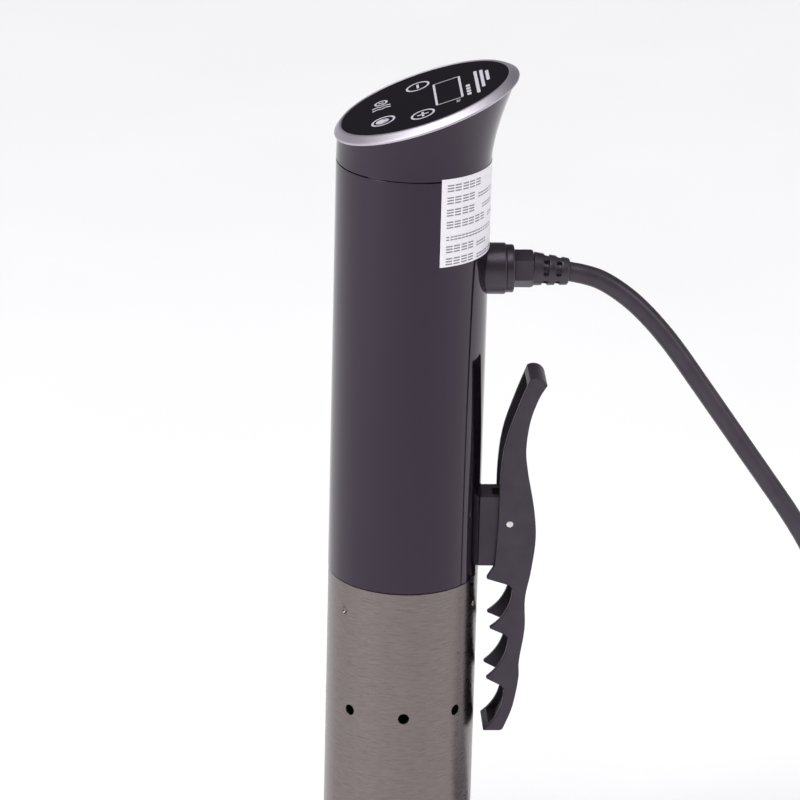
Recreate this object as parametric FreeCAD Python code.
"""Sous vide circulator: a slim immersion heater with a tilted touch panel and a pot clamp.

Millimetres. Z is up, Y points to the clamp and the cord, X to the right seen from the clamp's
opposite side. Z = 0 is the flat underside of the bottom cap, on the axis of the tube.
Each function makes one piece or one group of like pieces, and main() writes one STEP per node.
"""
import FreeCAD
import Part
import math
import os

# ---- driving dimensions -------------------------------------------------------------------------
BODY_R = 30.0          # outer radius of the casing tube
WALL = 2.4             # casing wall
BODY_LOW = 172.0       # lower edge of the casing tube
SEAM = BODY_LOW + 170  # joint between the tube and the flared head
BORE_R = BODY_R - WALL

PANEL_TILT = 19.85     # slope of the touch panel, rising to the back
PANEL_Y, PANEL_Z = 3.6, BODY_LOW + 194.4
PANEL_A, PANEL_B = 33.9, 31.6    # half length along the slope, half width
PANEL_T = 1.5
BEZEL_DROP = 2.7       # depth of the bezel below the panel's face
HEAD_A, HEAD_B = 36.5, 34.0       # half length and half width of the head under the bezel

SLEEVE_R, SLEEVE_WALL = 29.8, 0.8
SLEEVE_IN = SLEEVE_R - SLEEVE_WALL
CAP_H = 20.0
SPIGOT_R = SLEEVE_IN - 0.1
SPIGOT_LOW = BODY_LOW - 22
SHELF = BODY_LOW + 6   # top face of the bulkhead inside the casing
DIMPLE_Z = BODY_LOW - 12
DIMPLE_AT = (-53.0, 67.0, 187.0)  # degrees from +X
TWIST = 20.0           # bayonet turn of the sleeve and of the cap

SHAFT_R, RUN = 2.0, 0.05          # drive shaft, radial running clearance
IMPELLER_Z, IMPELLER_R = 7.0, 20.0
MOTOR_Z, MOTOR_R, MOTOR_H = BODY_LOW + 26.5, 17.5, 41.5
FAN_Z = MOTOR_Z + MOTOR_H + 5.5
HEATER_R, HEATER_AT = 3.25, 13.4  # sheathed element, leg position in X and Y

PIVOT_Y, PIVOT_Z, PIN_R = 41.3, BODY_LOW + 21.2, 1.5
LEVER_HALF, LEVER_WALL, LEVER_SPINE = 9.0, 1.7, 2.6
BRACKET_HALF, BRACKET_LOW, BRACKET_TOP = 7.0, BODY_LOW + 2.5, BODY_LOW + 32.0

GLAND_Z = BODY_LOW + 125.4
GRIP_TURN, WINDOW_TURN = 40.0, 26.6    # turn about the cord's line, up from facing +X
CORD_R = 3.85
COIL_X, COIL_Y = -34.0, 186.0     # centre of the stored coil
COIL_MID, COIL_PITCH = 42.4, 8.0  # middle radius of the turns, spacing of the turns
COIL_LIFT = 1.0                   # thickness of the tie under the coil
COIL_TURNS = 4.0

# ---- route of the cord, from the strain relief down to the coil, and from the coil to the plug ---
CORD_ROUTE = [
    (0, 61.4, 296.2), (0, 72.8, 294.2), (0, 83.9, 288.9), (0, 93.9, 280.4), (0, 109.2, 259.2),
    (0, 137.6, 217.4), (0, 161.3, 181.5), (-0.4, 180.5, 142.5), (-1.5, 194.5, 103),
    (-3.5, 205, 68), (-6.4, 214.5, 44), (-12.3, 224, 25.4), (-23.2, 231.8, 13.8), (-38.5, 238, 7.5),
]
TAIL_ROUTE = [(-83.6, 188, 12.6), (-84.8, 172, 11.4), (-85, 156, 9.6), (-84.4, 141, 8.5)]
PLUG_X, PLUG_Y, PLUG_Z = -84.4, 141.0, 8.5
PIN_SPACING = 12.7

# ---- clamp lever, side outline as (Y, height above the casing's lower edge) -----------------------
LEVER_BACK = [
    (41.0, -68.8), (44.8, -58.5), (46.9, -46), (46.9, -38), (48.7, -24), (48.4, -11), (50.4, 1),
    (51.8, 15), (50.7, 28), (47.7, 44), (46.8, 53.5), (48.1, 65), (51.2, 74.5), (54.2, 79.8),
]
LEVER_FRONT = [(47.3, 82.2), (43.0, 70.5), (38.6, 56), (36.9, 41), (36.7, 22), (35.8, 3.5)]
LEVER_TEETH = [  # tip, shoulder of the underside, root, belly of the curve to the next tip
    ((32.4, -2.3), (41.2, -5.0), (43.1, -8.4), (41.3, -15.6)),
    ((34.1, -23.7), (40.6, -26.6), (42.1, -29.6), (40.2, -37.2)),
    ((33.4, -45.6), (39.5, -48.8), (41.1, -52.0), (39.2, -61.0)),
]
LEVER_TOE = (32.8, -68.8)


# ---- small helpers --------------------------------------------------------------------------------
def vec(x, y, z):
    return FreeCAD.Vector(x, y, z)


def cyl(radius, low, high, x=0.0, y=0.0):
    return Part.makeCylinder(radius, high - low, vec(x, y, low))


def ring(outer, inner, low, high, x=0.0, y=0.0):
    return cyl(outer, low, high, x, y).cut(cyl(inner, low - 1, high + 1, x, y))


def box(x0, x1, y0, y1, z0, z1):
    return Part.makeBox(x1 - x0, y1 - y0, z1 - z0, vec(x0, y0, z0))


def rod_y(radius, y0, y1, x, z):
    return Part.makeCylinder(radius, y1 - y0, vec(x, y0, z), vec(0, 1, 0))


def rod_x(radius, half, y, z):
    return Part.makeCylinder(radius, 2 * half, vec(-half, y, z), vec(1, 0, 0))


def fuse(shapes):
    whole = shapes[0]
    for shape in shapes[1:]:
        whole = whole.fuse(shape)
    return whole.removeSplitter()


def turned(shape, degrees):
    copy = shape.copy()
    copy.rotate(vec(0, 0, 0), vec(0, 0, 1), degrees)
    return copy


def group(shapes):
    return Part.makeCompound(shapes)


def hexagon(across, height, base, direction):
    """Hexagonal prism, a corner pointing along X, extruded from base along direction."""
    radius = across / math.sqrt(3)
    points = []
    for k in range(7):
        a = math.radians(60 * k)
        if direction == "y":
            points.append(vec(base[0] + radius * math.cos(a), base[1], base[2] + radius * math.sin(a)))
        else:
            points.append(vec(base[0] + radius * math.cos(a), base[1] + radius * math.sin(a), base[2]))
    along = vec(0, height, 0) if direction == "y" else vec(0, 0, height)
    return Part.Face(Part.makePolygon(points)).extrude(along)


def on_panel(shape):
    """Carries a shape from the panel's own frame (x across, y up the slope, z out) to its place."""
    shape = shape.copy()
    turn = FreeCAD.Rotation(vec(1, 0, 0), PANEL_TILT)
    shape.Placement = FreeCAD.Placement(vec(0, PANEL_Y, PANEL_Z), turn).multiply(shape.Placement)
    return shape


def ellipse_wire(half_y, half_x, z):
    curve = Part.Ellipse(vec(0, half_y, z), vec(half_x, 0, z), vec(0, 0, z))
    return Part.Wire(curve.toShape())


def oval(half_y, half_x, low, high):
    return Part.Face(ellipse_wire(half_y, half_x, low)).extrude(vec(0, 0, high - low))


def oval_ring(outer, inner, low, high):
    return oval(*outer, low, high).cut(oval(*inner, low - 1, high + 1))


def revolve(points, axis_point, axis):
    face = Part.Face(Part.makePolygon([vec(*p) for p in points + points[:1]]))
    return face.revolve(axis_point, axis, 360)


def tube_along(points, radius, label):
    """Round tube of straight runs and tangent arcs through a list of corner points."""
    corners = [vec(*p) for p in points]
    edges, here, radii = [], corners[0], []
    for before, corner, after in zip(corners, corners[1:], corners[2:]):
        into, out = (corner - before), (after - corner)
        shorter = min(into.Length, out.Length)
        turn = into.getAngle(out)
        back = 0.45 * shorter
        radii.append(back / math.tan(turn / 2))
        a = corner - into.normalize() * back
        b = corner + out.normalize() * back
        to_centre = (b - corner) + (a - corner)
        centre = corner + to_centre.normalize() * math.hypot(back, radii[-1])
        middle = centre + (corner - centre).normalize() * radii[-1]
        edges.append(Part.LineSegment(here, a).toShape())
        edges.append(Part.Arc(a, middle, b).toShape())
        here = b
    edges.append(Part.LineSegment(here, corners[-1]).toShape())
    path = Part.Wire(edges)
    start = Part.Circle(corners[0], corners[1] - corners[0], radius)
    solid = path.makePipeShell([Part.Wire(start.toShape())], True, False)
    expected = math.pi * radius ** 2 * path.Length
    print(label, "length %.0f mm" % path.Length, "radii", [round(r) for r in radii],
          "volume / section x length %.4f" % (solid.Volume / expected))
    return solid


# ---- head -----------------------------------------------------------------------------------------
def panel_point(up_slope, out):
    """Point of the middle plane, up_slope along the panel and out along its normal."""
    a = math.radians(PANEL_TILT)
    y = PANEL_Y + up_slope * math.cos(a) - out * math.sin(a)
    return vec(0, y, PANEL_Z + up_slope * math.sin(a) + out * math.cos(a))


def rise(top, t):
    return SEAM + (top.z - SEAM) * t


def head_skin(inset, over=0.0):
    """Solid of the flared head: a circle at the seam that opens to the tilted oval at the top.

    inset moves the wall inwards, and over lengthens the solid past both its ends.
    """
    top_front, top_back = panel_point(-HEAD_A, -BEZEL_DROP), panel_point(HEAD_A, -BEZEL_DROP)
    wires = []
    for step in range(6):
        t = -over + (1 + 2 * over) * step / 5.0
        opened = max(t, 0.0)
        front = vec(0, -BODY_R + inset + (top_front.y + BODY_R) * opened, rise(top_front, t))
        back = vec(0, BODY_R - inset + (top_back.y - BODY_R) * opened ** 1.6, rise(top_back, t))
        half = BODY_R - inset + (HEAD_B - BODY_R) * opened ** 1.5
        centre = (front + back) * 0.5
        side = centre + vec(min(half, (back - front).Length / 2 - 0.002), 0, 0)
        wires.append(Part.Wire(Part.Ellipse(back, side, centre).toShape()))
    return Part.makeLoft(wires, True, False)


def head_housing():
    """Shell with a ledge for the display board and a spigot that plugs into the casing tube."""
    ledge = on_panel(oval_ring((60, 60), (26.0, 24.0), -12.0, -9.2))
    foot = ring(60, BORE_R - 2.0, SEAM - 9, SEAM + 1.2)
    cavity = head_skin(2.2, 0.06).cut(ledge).cut(foot)
    spigot = ring(BORE_R - 0.1, BORE_R - 2.0, SEAM - 6, SEAM)
    return fuse([head_skin(0.0).cut(cavity), spigot])


def bezel_ring():
    """Satin ring round the panel: a narrow flat lip, then a convex slope to the outer edge."""
    slope = [(34.5, 32.3, 0.15), (35.2, 33.0, -0.15), (37.1, 35.1, -1.6), (37.4, 35.5, -2.1)]
    crown = Part.makeLoft([ellipse_wire(a, b, z) for a, b, z in reversed(slope)], True, False)
    foot = oval(37.4, 35.5, -BEZEL_DROP, -2.1)
    opening = oval(PANEL_A, PANEL_B, -1.9, 2.0)
    well = oval(30.8, 27.8, -7.0, 2.0)
    return on_panel(fuse([crown, foot]).cut(opening).cut(well))


def touch_panel():
    return on_panel(oval(PANEL_A - 0.05, PANEL_B - 0.05, -PANEL_T, 0.0))


def panel_gasket():
    return on_panel(oval_ring((PANEL_A - 0.4, PANEL_B - 0.4), (31.3, 28.3), -1.9, -PANEL_T))


def display_board():
    board = oval(28.3, 26.3, -9.2, -7.6)
    return on_panel(board.cut(box(-4, 4, -27.5, -22, -10, -7)))


def display_module():
    case = box(-14, 14, 2.6, 16.6, -7.6, -1.6)
    return on_panel(case)


def touch_springs():
    places = [(-17.2, -1.6), (17.2, -1.6), (11.9, -17.0), (-11.9, -16.0)]
    return on_panel(group([ring(3.0, 2.2, -7.6, -PANEL_T, x, y) for x, y in places]))


# ---- casing tube and what is fixed to it -----------------------------------------------------------
def body_tube():
    tube = ring(BODY_R, BORE_R, BODY_LOW, SEAM)
    tube = tube.cut(rod_y(8.0, 20, 40, 0, GLAND_Z))
    for z in screw_heights():
        tube = tube.cut(rod_y(1.6, 20, 40, 0, z))
    groove = ring(BODY_R + 1, BODY_R - 0.5, SEAM - 0.35, SEAM + 1)
    return tube.cut(groove)


def rating_label():
    shell = ring(BODY_R + 0.25, BODY_R + 0.1, GLAND_Z + 10.1, SEAM + 0.8)
    start, sweep = 18.0, 96.0
    wedge = Part.makeCylinder(60, 300, vec(0, 0, 200), vec(0, 0, 1), sweep)
    return shell.common(turned(wedge, start))


def cord_gland():
    boss = rod_y(10.05, 20, 36.8, 0, GLAND_Z).cut(cyl(BODY_R, 200, 400))
    shank = rod_y(7.9, 19.5, 33, 0, GLAND_Z)
    return fuse([boss, shank]).cut(rod_y(6.05, 10, 45, 0, GLAND_Z))


def gland_nut():
    return hexagon(18.6, 4.0, (0, 20.5, GLAND_Z), "y").cut(rod_y(7.9, 10, 40, 0, GLAND_Z))


def gland_ring():
    r, y0, y1, z = 9.4, 36.8, 40.0, GLAND_Z
    outline = [(0, y0, z + 6.05), (0, y0, z + r), (0, y1 - 0.9, z + r), (0, y1 - 0.25, z + r - 0.3),
               (0, y1, z + r - 0.9), (0, y1, z + 6.05)]
    return revolve(outline, vec(0, 0, z), vec(0, 1, 0))


def strain_relief():
    """Hexagonal grip, then a tapered tail with two rings of four windows, drooping to its end."""
    z, along = GLAND_Z, vec(0, 1, 0)
    grip = hexagon(13.0, 7.4, (0, 40.0, z), "y")
    grip = grip.common(Part.makeCone(9.8, 7.1, 7.4, vec(0, 40.0, z), along))
    grip.rotate(vec(0, 40.0, z), along, -GRIP_TURN)
    shank = rod_y(6.0, 22, 40.5, 0, z)
    profile = [(0, 0, 0), (0, 0, 6.6), (0, 13.5, 5.3), (0, 14.1, 4.8), (0, 14.1, 0)]
    tail = revolve(profile, vec(0, 0, 0), along)
    for near, far, half in ((3.8, 6.0, 3.45), (8.8, 10.9, 3.05)):
        window = box(3.0, 8.0, near, far, -half, half)
        window = window.makeFillet(0.85, [e for e in window.Edges if e.BoundBox.XLength > 4])
        for quarter in range(4):
            turned_window = window.copy()
            turned_window.rotate(vec(0, 0, 0), along, -WINDOW_TURN - 90 * quarter)
            tail = tail.cut(turned_window)
    tail = fuse([tail, rod_y(CORD_R, 0, 14.0, 0, 0)])
    tail.rotate(vec(0, 0, 0), vec(1, 0, 0), -4.8)
    tail.translate(vec(0, 47.35, z))
    return fuse([shank, grip, tail])


# ---- pot clamp --------------------------------------------------------------------------------------
def screw_heights():
    return (BODY_LOW + 14.0, BODY_LOW + 28.0)


def clamp_bracket():
    """Block on the back of the casing: two cheeks that hold the pivot pin, a slot for the spring."""
    block = box(-BRACKET_HALF, BRACKET_HALF, 20, 38, BRACKET_LOW, BRACKET_TOP)
    cheeks = box(-BRACKET_HALF, BRACKET_HALF, 37, 41.3, PIVOT_Z - 8, PIVOT_Z + 8)
    nose = rod_x(5.2, BRACKET_HALF, PIVOT_Y, PIVOT_Z)
    block = fuse([block, cheeks.cut(box(-9, 9, 38, 50, PIVOT_Z + 5.2, PIVOT_Z + 9))
                  .cut(box(-9, 9, 38, 50, PIVOT_Z - 9, PIVOT_Z - 5.2)), nose])
    block = block.cut(box(-3.4, 3.4, 34.6, 60, BRACKET_LOW + 6, BRACKET_TOP + 5))
    block = block.cut(cyl(BODY_R, 100, 300))
    for z in screw_heights():
        block = block.cut(rod_y(1.5, 20, 34.0, 0, z))
    return block.cut(rod_x(PIN_R, 10, PIVOT_Y, PIVOT_Z))


def bracket_screws():
    screws = []
    for z in screw_heights():
        shank = rod_y(1.5, 26.6, 33.6, 0, z)
        head = rod_y(2.8, 24.6, 26.8, 0, z)
        screws.append(fuse([shank, head]))
    return group(screws)


def lever_outline():
    """Closed side outline of the lever: back edge, rounded top, front edge, three teeth, toe."""
    at = [vec(0, y, BODY_LOW + h) for y, h in LEVER_BACK]
    back = Part.BSplineCurve()
    back.interpolate(at)
    front_at = [vec(0, y, BODY_LOW + h) for y, h in LEVER_FRONT]
    front = Part.BSplineCurve()
    front.interpolate(front_at)
    edges = [back.toShape(), Part.Arc(at[-1], vec(0, 52.6, BODY_LOW + 82.0), front_at[0]).toShape(),
             front.toShape()]
    here = front_at[-1]
    tips = [tooth[0] for tooth in LEVER_TEETH[1:]] + [LEVER_TOE]
    for (tip, shoulder, root, belly), next_tip in zip(LEVER_TEETH, tips):
        p = [vec(0, y, BODY_LOW + h) for y, h in (tip, shoulder, root, belly, next_tip)]
        corner = vec(0, root[0] - 0.25, BODY_LOW + (shoulder[1] * 0.62 + root[1] * 0.38))
        if here.distanceToPoint(p[0]) > 0.01:
            edges.append(Part.LineSegment(here, p[0]).toShape())
        edges.append(Part.LineSegment(p[0], p[1]).toShape())
        edges.append(Part.Arc(p[1], corner, p[2]).toShape())
        edges.append(Part.Arc(p[2], p[3], p[4]).toShape())
        here = p[4]
    edges.append(Part.LineSegment(here, at[0]).toShape())
    return Part.Face(Part.Wire(Part.__sortEdges__(edges)))


def lever_channel():
    """The hollow of the lever: its back edge moved in by the spine, open to the front."""
    inner = [vec(0, y - LEVER_SPINE, BODY_LOW + h) for y, h in LEVER_BACK[1:-1]]
    low, high = vec(0, 38.6, BODY_LOW - 66.4), vec(0, 49.6, BODY_LOW + 79.6)
    back = Part.BSplineCurve()
    back.interpolate([low] + inner + [high])
    corners = [high, vec(0, 20, high.z), vec(0, 20, low.z), low]
    edges = [back.toShape()] + [Part.LineSegment(a, b).toShape() for a, b in zip(corners, corners[1:])]
    return Part.Face(Part.Wire(edges))


def clamp_lever():
    solid = lever_outline().extrude(vec(2 * LEVER_HALF, 0, 0))
    solid.translate(vec(-LEVER_HALF, 0, 0))
    inner = LEVER_HALF - LEVER_WALL
    channel = lever_channel().extrude(vec(2 * inner, 0, 0))
    channel.translate(vec(-inner, 0, 0))
    return solid.cut(channel).cut(rod_x(PIN_R + RUN, 20, PIVOT_Y, PIVOT_Z))


def pivot_pin():
    return rod_x(PIN_R, LEVER_HALF, PIVOT_Y, PIVOT_Z)


def clamp_spring():
    """Torsion spring: four touching coils round the pin, one leg down, one leg up the lever."""
    wire, mean = 0.6, 3.0
    coils = [Part.makeTorus(mean, wire, vec(x, PIVOT_Y, PIVOT_Z), vec(1, 0, 0))
             for x in (-1.65, -0.55, 0.55, 1.65)]
    down = Part.makeCylinder(wire, 10, vec(-1.65, PIVOT_Y - mean, PIVOT_Z), vec(0, -0.28, -1))
    up = Part.makeCylinder(wire, 21, vec(1.65, PIVOT_Y + mean, PIVOT_Z), vec(0, 0.015, 1))
    return fuse(coils + [down, up])


# ---- wet end: bulkhead, heater, probe, electrodes ---------------------------------------------------
def heater_legs():
    a = HEATER_AT
    return [(a, -a), (a, a), (-a, a), (-a, -a)]


def bulkhead():
    """Plastic plug that closes the casing and carries the sleeve on a grooved spigot."""
    plug = fuse([cyl(BORE_R - 0.05, BODY_LOW - 1, SHELF), cyl(SPIGOT_R, BODY_LOW - 10, BODY_LOW),
                 ring(SPIGOT_R, 25.6, SPIGOT_LOW, BODY_LOW - 9.5)])
    plug = plug.cut(ring(40, BORE_R - 1.4, SHELF - 3.6, SHELF - 1.2))
    plug = plug.cut(ring(40, SPIGOT_R - 1.9, SPIGOT_LOW + 3, SPIGOT_LOW + 5.4))
    for angle in DIMPLE_AT:
        track = Part.makeCylinder(40, 4.4, vec(0, 0, DIMPLE_Z - 2.2), vec(0, 0, 1), TWIST + 12)
        way_out = Part.makeCylinder(40, DIMPLE_Z - SPIGOT_LOW + 3, vec(0, 0, SPIGOT_LOW - 1),
                                    vec(0, 0, 1), 10)
        track = track.cut(cyl(27.5, 100, 200))
        way_out = turned(way_out, TWIST + 2).cut(cyl(27.5, 100, 200))
        plug = plug.cut(turned(track, angle - 6)).cut(turned(way_out, angle - 6))
    for x, y in (heater_legs()[0], heater_legs()[-1]):
        plug = plug.cut(cyl(HEATER_R, 100, 200, x, y))
    plug = plug.cut(cyl(2.5, 100, 200, 0, -21))
    for x in (-21.5, 21.5):
        plug = plug.cut(cyl(1.5, 100, 200, x, 0))
    plug = plug.cut(cyl(5.0, 100, 200))
    return plug.cut(cyl(6.5, SHELF - 4, 200))


def bulkhead_seal():
    return ring(BORE_R - 0.02, BORE_R - 1.4, SHELF - 3.5, SHELF - 1.3)


def sleeve_seal():
    radius = 0.92
    return Part.makeTorus(SLEEVE_IN - 0.05 - radius, radius, vec(0, 0, SPIGOT_LOW + 4.2))


def shaft_bush():
    return ring(5.0, SHAFT_R + RUN, BODY_LOW - 10, SHELF - 4)


def shaft_seal():
    return ring(6.5, SHAFT_R + RUN, SHELF - 4, SHELF)


def shaft_tube():
    return ring(4.0, 3.2, 34, BODY_LOW - 10)


def lower_bush():
    return ring(3.2, SHAFT_R + RUN, 34, 43)


def heater_element():
    """One sheathed element bent into two hairpins, both ends up through the bulkhead."""
    a, low, high, top = HEATER_AT, 50.0, 128.0, SHELF + 8
    (x0, y0), (x1, y1), (x2, y2), (x3, y3) = heater_legs()
    pieces = [
        Part.LineSegment(vec(x0, y0, top), vec(x0, y0, low)),
        Part.Arc(vec(x0, y0, low), vec(a, 0, low - a), vec(x1, y1, low)),
        Part.LineSegment(vec(x1, y1, low), vec(x1, y1, high)),
        Part.Arc(vec(x1, y1, high), vec(0, a, high + a), vec(x2, y2, high)),
        Part.LineSegment(vec(x2, y2, high), vec(x2, y2, low)),
        Part.Arc(vec(x2, y2, low), vec(-a, 0, low - a), vec(x3, y3, low)),
        Part.LineSegment(vec(x3, y3, low), vec(x3, y3, top)),
    ]
    path = Part.Wire([piece.toShape() for piece in pieces])
    start = Part.Wire(Part.Circle(vec(x0, y0, top), vec(0, 0, -1), HEATER_R).toShape())
    return path.makePipeShell([start], True, False)


def heater_nuts():
    ends = (heater_legs()[0], heater_legs()[-1])
    return group([hexagon(10.0, 4.0, (x, y, SHELF), "z").cut(cyl(HEATER_R, 100, 200, x, y))
                  for x, y in ends])


def temperature_probe():
    rod = cyl(2.5, 60, SHELF + 6, 0, -21)
    return rod.fuse(Part.makeSphere(2.5, vec(0, -21, 60))).removeSplitter()


def level_electrodes():
    long_rod = cyl(1.5, 58, SHELF + 7, -21.5, 0)
    short_rod = cyl(1.5, 112, SHELF + 7, 21.5, 0)
    return group([long_rod, short_rod])


def thermal_cutout():
    body = cyl(6.0, SHELF + 1.0, SHELF + 6.0, 0, 16)
    base = box(-8.5, 8.5, 12.5, 19.5, SHELF, SHELF + 1.0)
    return fuse([base, body])


# ---- sleeve and bottom cap ---------------------------------------------------------------------------
def steel_sleeve():
    """Stainless tube with locking dimples at the top, inlet slots and bayonet notches below."""
    sleeve = ring(SLEEVE_R, SLEEVE_IN, CAP_H + 0.3, BODY_LOW - 0.4)
    for angle in DIMPLE_AT:
        a = math.radians(angle)
        centre = vec((SLEEVE_R + 0.6) * math.cos(a), (SLEEVE_R + 0.6) * math.sin(a), DIMPLE_Z)
        bump = Part.makeSphere(2.4, centre).common(cyl(SLEEVE_R - 0.1, 100, 200))
        sleeve = sleeve.fuse(bump).cut(Part.makeSphere(1.6, centre))
    for k in range(8):
        slot = fuse([box(20, 40, -1.6, 1.6, 36, 60),
                     Part.makeCylinder(1.6, 20, vec(20, 0, 36), vec(1, 0, 0)),
                     Part.makeCylinder(1.6, 20, vec(20, 0, 60), vec(1, 0, 0))])
        sleeve = sleeve.cut(turned(slot, 22.5 + 45 * k))
        hole = Part.makeCylinder(2.2, 20, vec(20, 0, 118), vec(1, 0, 0))
        sleeve = sleeve.cut(turned(hole, 45 * k))
    for k in range(3):
        along = Part.makeCylinder(40, 3.8, vec(0, 0, CAP_H + 2.2), vec(0, 0, 1), TWIST + 9)
        entry = Part.makeCylinder(40, 5.8, vec(0, 0, CAP_H), vec(0, 0, 1), 9)
        sleeve = sleeve.cut(turned(along, 120 * k - 4.5)).cut(turned(entry, 120 * k - 4.5 + TWIST))
    return sleeve


def bottom_cap():
    """Cup with side outlets and a slotted floor, held in the sleeve by three bayonet lugs."""
    cup = cyl(SLEEVE_R, 0, CAP_H)
    rim = [edge for edge in cup.Edges if abs(edge.BoundBox.ZMax) < 0.01 and edge.BoundBox.XLength > 10]
    cup = cup.makeFillet(3.0, rim)
    cup = fuse([cup, cyl(SPIGOT_R, CAP_H - 1, CAP_H + 7)]).cut(cyl(27.0, 2.6, 60))
    for k in range(8):
        outlet = fuse([box(15, 40, -6, 6, 8, 13),
                       Part.makeCylinder(2.5, 25, vec(15, -6, 10.5), vec(1, 0, 0)),
                       Part.makeCylinder(2.5, 25, vec(15, 6, 10.5), vec(1, 0, 0))])
        cup = cup.cut(turned(outlet, 45 * k))
    for k in range(6):
        inlet = fuse([box(6, 19, -1.8, 1.8, -1, 4), cyl(1.8, -1, 4, 6, 0), cyl(1.8, -1, 4, 19, 0)])
        cup = cup.cut(turned(inlet, 60 * k + 30))
    lugs = []
    for k in range(3):
        lug = Part.makeCylinder(SLEEVE_R - 0.1, 3.0, vec(0, 0, CAP_H + 2.6), vec(0, 0, 1), 7)
        lugs.append(turned(lug, 120 * k - 3.5).cut(cyl(28.0, 0, 60)))
    return fuse([cup] + lugs)


# ---- drive -------------------------------------------------------------------------------------------
def motor_bracket():
    plate = cyl(20.0, MOTOR_Z - 2.5, MOTOR_Z)
    legs = [turned(box(16.0, 19.8, -3, 3, SHELF, MOTOR_Z - 2), angle) for angle in (30, 150, 270)]
    legs[2] = turned(box(12, 16, -3, 3, SHELF, MOTOR_Z - 2), 270)
    return fuse([plate] + legs).cut(cyl(5.1, 150, 260))


def motor_can():
    can = fuse([cyl(MOTOR_R, MOTOR_Z, MOTOR_Z + MOTOR_H), cyl(5.0, MOTOR_Z - 2.5, MOTOR_Z + 1)])
    can = can.cut(cyl(MOTOR_R - 1.7, MOTOR_Z + 2.2, MOTOR_Z + MOTOR_H - 2.2))
    return can.cut(cyl(SHAFT_R + RUN, 150, 300))


def motor_magnets():
    arcs = []
    for k in range(4):
        wedge = Part.makeCylinder(40, 33, vec(0, 0, MOTOR_Z + 4.5), vec(0, 0, 1), 76)
        shell = ring(MOTOR_R - 1.75, 12.8, MOTOR_Z + 4.5, MOTOR_Z + 37.5)
        arcs.append(shell.common(turned(wedge, 90 * k + 7)))
    return group(arcs)


def rotor_core():
    core = ring(12.2, SHAFT_R, MOTOR_Z + 7.5, MOTOR_Z + 34.5)
    for k in range(7):
        slot = turned(box(9, 14, -0.9, 0.9, 190, 250), 360.0 * k / 7)
        core = core.cut(slot)
    return core


def motor_screws():
    screws = []
    for angle in (0, 180):
        screw = fuse([cyl(1.4, MOTOR_Z - 3, MOTOR_Z + 2, 11, 0),
                      cyl(2.6, MOTOR_Z - 4.6, MOTOR_Z - 2.5, 11, 0)])
        screws.append(turned(screw, angle))
    return group(screws)


def with_screw_holes(shape):
    for x in (-11, 11):
        shape = shape.cut(cyl(1.4, MOTOR_Z - 4, MOTOR_Z + 2, x, 0))
    return shape


def motor_shaft():
    return cyl(SHAFT_R, 6, FAN_Z + 9)


def blades(count, root, tip, low, high, thick, lean):
    made = []
    for k in range(count):
        blade = box(root, tip, -thick / 2, thick / 2, low, high)
        blade.rotate(vec(0, 0, (low + high) / 2), vec(1, 0, 0), lean)
        made.append(turned(blade, 360.0 * k / count))
    return made


def impeller():
    hub = ring(5.0, SHAFT_R, IMPELLER_Z, IMPELLER_Z + 10)
    disc = ring(IMPELLER_R, SHAFT_R, IMPELLER_Z + 8.6, IMPELLER_Z + 10)
    return fuse([hub, disc] + blades(6, 4.0, IMPELLER_R - 0.5, IMPELLER_Z, IMPELLER_Z + 9.2, 1.4, 0))


def impeller_nut():
    return hexagon(7.0, 3.4, (0, 0, IMPELLER_Z + 10), "z").cut(cyl(SHAFT_R, 0, 60))


def cooling_fan():
    hub = ring(5.5, SHAFT_R, FAN_Z, FAN_Z + 8)
    return fuse([hub] + blades(7, 4.5, 19.0, FAN_Z + 0.5, FAN_Z + 7.5, 1.2, 35))


# ---- electronics ---------------------------------------------------------------------------------------
def board_frame():
    low = FAN_Z + 12
    plate = ring(BORE_R - 0.2, 12.0, low, low + 2.5)
    rails = []
    for side in (-1, 1):
        x0, x1 = sorted((side * 19.6, side * 23.0))
        rails.append(box(x0, x1, -12.6, -6.4, low, low + 68))
    frame = fuse([plate] + rails).cut(box(-21.4, 21.4, -10.3, -8.7, low + 2.5, 400))
    for x in (-16, 16):
        frame = frame.cut(cyl(2.0, 200, 300, x, -16))
    return frame


def power_board():
    low = FAN_Z + 14.5
    return box(-21.35, 21.35, -10.25, -8.75, low, low + 64)


def heat_sink():
    low = FAN_Z + 20
    base = box(-15, 15, -8.75, -5.75, low, low + 28)
    fins = [box(x, x + 1.4, -6, 7, low, low + 28) for x in (-15, -9.3, -3.6, 2.1, 7.8, 13.6)]
    return fuse([base] + fins)


def power_parts():
    low = FAN_Z + 52
    capacitor = rod_y(6.0, -8.75, 9.0, -11, low + 9)
    relay = box(0, 17, -8.75, 6, low, low + 15)
    return group([capacitor, relay])


def lead_wires():
    wires = []
    for side in (-1, 1):
        mains = [(3.2 * side, 21.5, GLAND_Z), (3.6 * side, 14, GLAND_Z + 1.5),
                 (4.4 * side, 10.6, GLAND_Z + 12), (3.9 * side, 5, GLAND_Z + 23),
                 (3.4 * side, -8.5, GLAND_Z + 25.5)]
        top = SHELF + 8
        heater = [(13.4 * side, -13.4, top + 0.6), (15.4 * side, -15.4, top + 6),
                  (16.3 * side, -16.1, top + 24), (16.0 * side, -16.0, top + 52),
                  (15.8 * side, -16.2, top + 76), (14.0 * side, -15.2, top + 88),
                  (13.0 * side, -11.6, top + 95)]
        wires.append(tube_along(mains, 0.9, "mains wire"))
        wires.append(tube_along(heater, 0.9, "heater wire"))
    return group(wires)


# ---- cord, coil, tie and plug --------------------------------------------------------------------------
def power_cord():
    return tube_along(CORD_ROUTE, CORD_R, "cord")


def cord_tail():
    return tube_along(TAIL_ROUTE, CORD_R, "tail")


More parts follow.
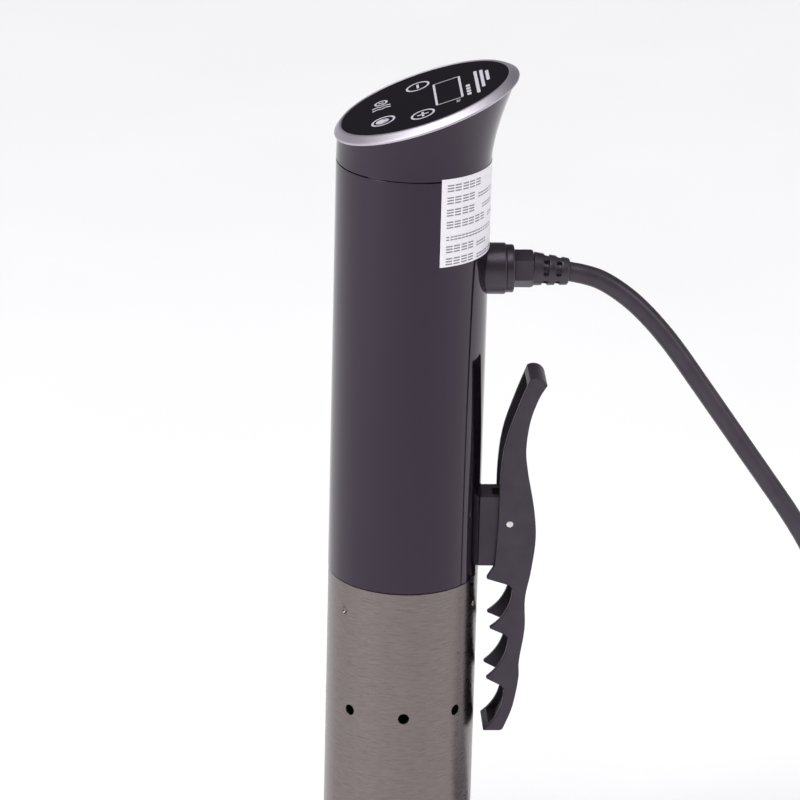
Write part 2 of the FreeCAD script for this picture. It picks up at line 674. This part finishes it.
def cord_coil():
    """Outer shape of four turns: two side by side, in two layers."""
    reach = COIL_PITCH + CORD_R
    height = 2 * CORD_R + 7.75
    length = 2 * math.pi * COIL_MID * COIL_TURNS
    print("coil length %.0f mm" % length, "outside %.0f mm" % (2 * (COIL_MID + reach)))
    coil = ring(COIL_MID + reach, COIL_MID - reach, COIL_LIFT, COIL_LIFT + height, COIL_X, COIL_Y)
    return coil


def cord_tie():
    reach = COIL_PITCH + CORD_R
    outer = box(COIL_MID - reach - 1.7, COIL_MID + reach + 1.2, -5, 5, 0, COIL_LIFT + 17.0)
    inner = box(COIL_MID - reach - 0.6, COIL_MID + reach + 0.1, -6, 6, COIL_LIFT - 0.02, COIL_LIFT + 15.6)
    tie = turned(outer.cut(inner), -60)
    tie.translate(vec(COIL_X, COIL_Y, 0))
    return tie


def plug_body():
    """Two-pin plug lying on its flat side, its relief towards the coil."""
    x, y, z = PLUG_X, PLUG_Y, PLUG_Z
    relief = Part.makeCone(5.0, 6.6, 14, vec(x, y, z), vec(0, -1, 0))
    grip = box(x - 11, x + 11, y - 37, y - 13, z - 7.5, z + 7.5)
    face = box(x - 12.5, x + 12.5, y - 41, y - 36, z - 8.5, z + 8.5)
    grip = grip.makeFillet(3.0, [e for e in grip.Edges if e.BoundBox.YLength > 20])
    face = face.makeFillet(2.0, [e for e in face.Edges if e.BoundBox.YLength > 4])
    return fuse([relief, grip, face])


def plug_pins():
    y, z = PLUG_Y - 41, PLUG_Z
    middles = (PLUG_X - PIN_SPACING / 2, PLUG_X + PIN_SPACING / 2)
    return group([box(x - 0.75, x + 0.75, y - 17, y, z - 3.15, z + 3.15) for x in middles])


NODES = [
    head_housing, bezel_ring, touch_panel, panel_gasket, display_board, display_module, touch_springs,
    body_tube, rating_label, cord_gland, gland_nut, gland_ring, strain_relief,
    clamp_bracket, bracket_screws, clamp_lever, pivot_pin, clamp_spring,
    bulkhead, bulkhead_seal, sleeve_seal, shaft_bush, shaft_seal, shaft_tube, lower_bush,
    heater_element, heater_nuts, temperature_probe, level_electrodes, thermal_cutout,
    steel_sleeve, bottom_cap, motor_bracket, motor_can, motor_magnets, rotor_core, motor_screws,
    motor_shaft, impeller, impeller_nut, cooling_fan,
    board_frame, power_board, heat_sink, power_parts, lead_wires,
    power_cord, cord_coil, cord_tail, cord_tie, plug_body, plug_pins,
]
DRILLED = ("motor_bracket", "motor_can")


def main():
    os.makedirs("parts", exist_ok=True)
    for make in NODES:
        shape = make()
        if make.__name__ in DRILLED:
            shape = with_screw_holes(shape)
        if not shape.isValid() or shape.Volume <= 0:
            print("CHECK", make.__name__, "valid", shape.isValid(), "volume", round(shape.Volume, 2))
        shape.exportStep("parts/%s.step" % make.__name__)
    print(len(NODES), "nodes")


main()
